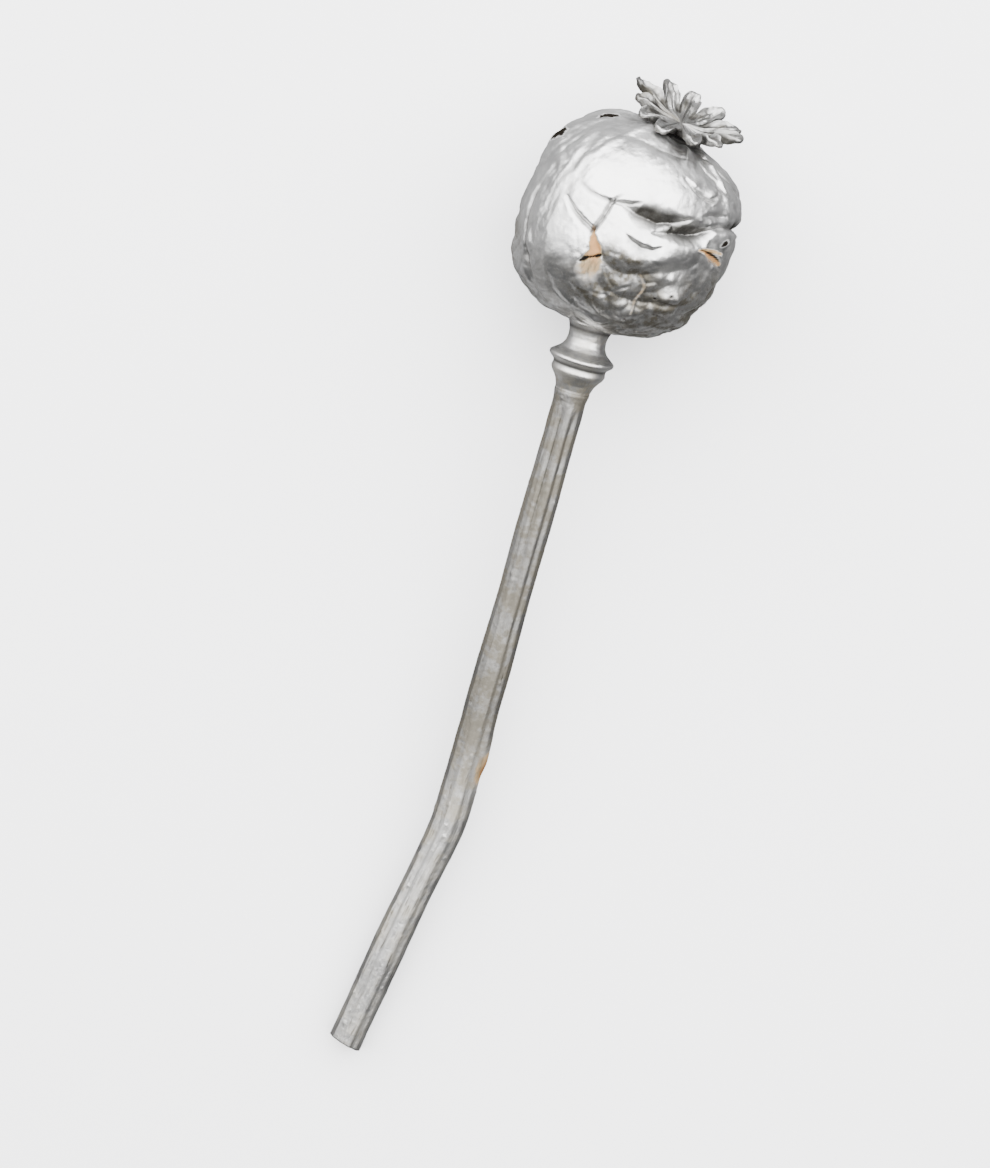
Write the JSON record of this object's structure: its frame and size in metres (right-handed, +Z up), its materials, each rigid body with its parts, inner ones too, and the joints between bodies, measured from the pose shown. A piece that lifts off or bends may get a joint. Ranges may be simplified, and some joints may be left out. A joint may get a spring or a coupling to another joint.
{
  "type": "poppy seed head",
  "caption": "Dried poppy seed head, sprayed silver: a round crumpled capsule with a lobed crown on a long cut stem with a ringed collar, lying on its side.",
  "frame": {"origin": "the middle of the small flat spot that the capsule rests on, on the floor under the capsule's middle", "axes": "+Y from the stem's cut end towards the crown, +Z up away from the floor, +X to the right seen from above with the crown away from the viewer"},
  "size_m": [0.0392, 0.1915, 0.0396],
  "materials": {
    "capsule": "dry seed capsule under satin silver spray paint: bright on its smooth upper plates, darker and mottled low down, with small bare tan tears",
    "crown": "dry papery lobes under thin silver spray paint, more matt and greyer than the capsule",
    "stem": "dry grooved stem under satin silver spray paint, warm grey in its grooves, with a brown leaf scar and a bare pale cut end"
  },
  "bodies": {
    "root": {"capsule": "capsule", "crown": "crown", "stem": "stem"}
  },
  "joints": []
}
